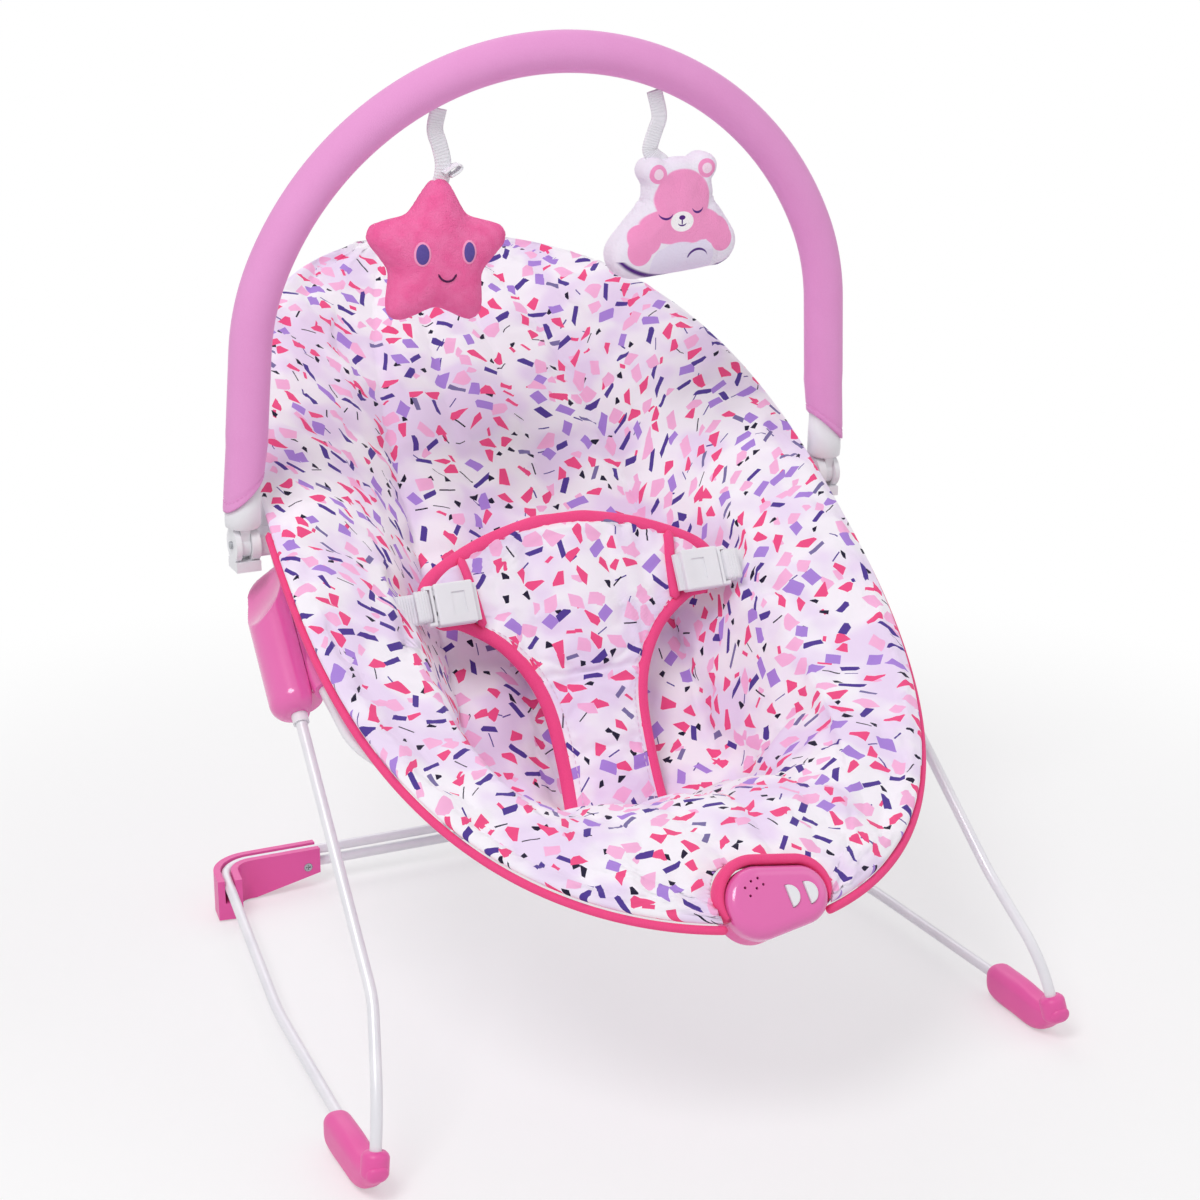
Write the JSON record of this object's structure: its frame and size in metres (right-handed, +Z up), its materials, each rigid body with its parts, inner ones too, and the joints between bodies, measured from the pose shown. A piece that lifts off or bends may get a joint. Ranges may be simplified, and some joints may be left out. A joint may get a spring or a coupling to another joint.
{
  "type": "bouncer seat",
  "caption": "Baby bouncer seat: a padded bucket on a sprung wire frame with side hubs, a folding toy arch with hanging toys, a lap belt and a sound and vibration unit.",
  "frame": {"origin": "on the floor, at the middle of the bounding box", "axes": "+X to the right as seen from the front, +Y from the control unit towards the backrest, +Z up"},
  "size_m": [0.473, 0.5675, 0.6115],
  "materials": {
    "white_steel": "satin",
    "pink_gloss": "gloss",
    "pink_moulded": "satin",
    "white_moulded": "satin",
    "print_cloth": "woven print",
    "coral_trim": "woven",
    "lilac_sleeve": "brushed",
    "pink_plush": "short pile",
    "bear_cloth": "printed plush",
    "webbing": "woven",
    "grey_rubber": "matt",
    "zinc_steel": "brushed",
    "nylon_rod": "natural",
    "board_green": "matt",
    "black_moulded": "matt",
    "cell_jacket": "gloss"
  },
  "bodies": {
    "floor_frame": {"bracket_screws": "zinc_steel", "floor_rod_left": "white_steel", "floor_rod_right": "white_steel", "front_foot_left": "pink_moulded", "front_foot_right": "pink_moulded", "rear_bracket_left": "pink_moulded", "rear_bracket_right": "pink_moulded", "rear_pad_left": "grey_rubber", "rear_pad_right": "grey_rubber"},
    "seat": {"arch_clip_left": "white_moulded", "arch_clip_right": "white_moulded", "arch_pins": "zinc_steel", "battery_door": "pink_moulded", "buckle_socket_left": "white_moulded", "buckle_socket_right": "white_moulded", "cell_contacts": "zinc_steel", "cells": "cell_jacket", "circuit_board": "board_green", "crotch_binding": "coral_trim", "crotch_panel": "print_cloth", "hub_core_left": "pink_gloss", "hub_core_right": "pink_gloss", "hub_cover_left": "pink_gloss", "hub_cover_right": "pink_gloss", "hub_screws": "zinc_steel", "lap_strap_left": "webbing", "lap_strap_right": "webbing", "leg_ferrules": "white_moulded", "leg_rod_left": "white_steel", "leg_rod_right": "white_steel", "loudspeaker": "black_moulded", "seat_hem_back": "print_cloth", "seat_hem_front": "print_cloth", "seat_pad": "print_cloth", "seat_piping": "coral_trim", "seat_tube_back": "white_steel", "seat_tube_front": "white_steel", "unit_back_shell": "pink_moulded", "unit_front_shell": "pink_moulded", "unit_pocket": "coral_trim", "vibration_motor": "zinc_steel"},
    "toy_arch": {"arch_core": "nylon_rod", "arch_sleeve": "lilac_sleeve", "arch_foot_left": "white_moulded", "arch_foot_right": "white_moulded"},
    "star": {"star_strap": "webbing", "star_toy": "pink_plush"},
    "bear": {"bear_strap": "webbing", "bear_toy": "bear_cloth"},
    "left_button": {"button_left": "white_moulded"},
    "right_button": {"button_right": "white_moulded"},
    "weight": {"motor_weight": "zinc_steel"},
    "left_tongue": {"buckle_tongue_left": "white_moulded"},
    "right_tongue": {"buckle_tongue_right": "white_moulded"}
  },
  "joints": [
    {"name": "seat_bounce", "type": "hinge", "parent": "floor_frame", "child": "seat", "pos_m": [0, -0.2244, 0.017], "axis": [-1, 0, 0], "range_deg": [-3, 5], "stiffness_Nm_per_rad": 90, "springref_deg": -1.72},
    {"name": "arch_swing", "type": "hinge", "parent": "seat", "child": "toy_arch", "pos_m": [0, 0.0506, 0.306], "axis": [1, 0, 0], "range_deg": [-35, 40]},
    {"name": "star_swing", "type": "hinge", "parent": "toy_arch", "child": "star", "pos_m": [-0.07623, 0.03502, 0.56818], "axis": [0.915, 0, 0.4034], "range_deg": [-25, 25]},
    {"name": "bear_swing", "type": "hinge", "parent": "toy_arch", "child": "bear", "pos_m": [0.06787, 0.03482, 0.57163], "axis": [0.9333, 0, -0.3591], "range_deg": [-25, 25]},
    {"name": "left_button_press", "type": "slide", "parent": "seat", "child": "left_button", "axis": [0, 0.8192, -0.5736], "range_m": [0, 0.0015], "stiffness_N_per_m": 900, "springref_m": -0.0006},
    {"name": "right_button_press", "type": "slide", "parent": "seat", "child": "right_button", "axis": [0, 0.8192, -0.5736], "range_m": [0, 0.0015], "stiffness_N_per_m": 900, "springref_m": -0.0006},
    {"name": "weight_spin", "type": "hinge", "parent": "seat", "child": "weight", "pos_m": [-0.0005, -0.25282, 0.1645], "axis": [1, 0, 0], "continuous": true},
    {"name": "left_buckle_release", "type": "slide", "parent": "seat", "child": "left_tongue", "axis": [-1, 0, 0], "range_m": [0, 0.012], "deforming": ["lap_strap_left"]},
    {"name": "right_buckle_release", "type": "slide", "parent": "seat", "child": "right_tongue", "axis": [1, 0, 0], "range_m": [0, 0.012], "deforming": ["lap_strap_right"]}
  ]
}
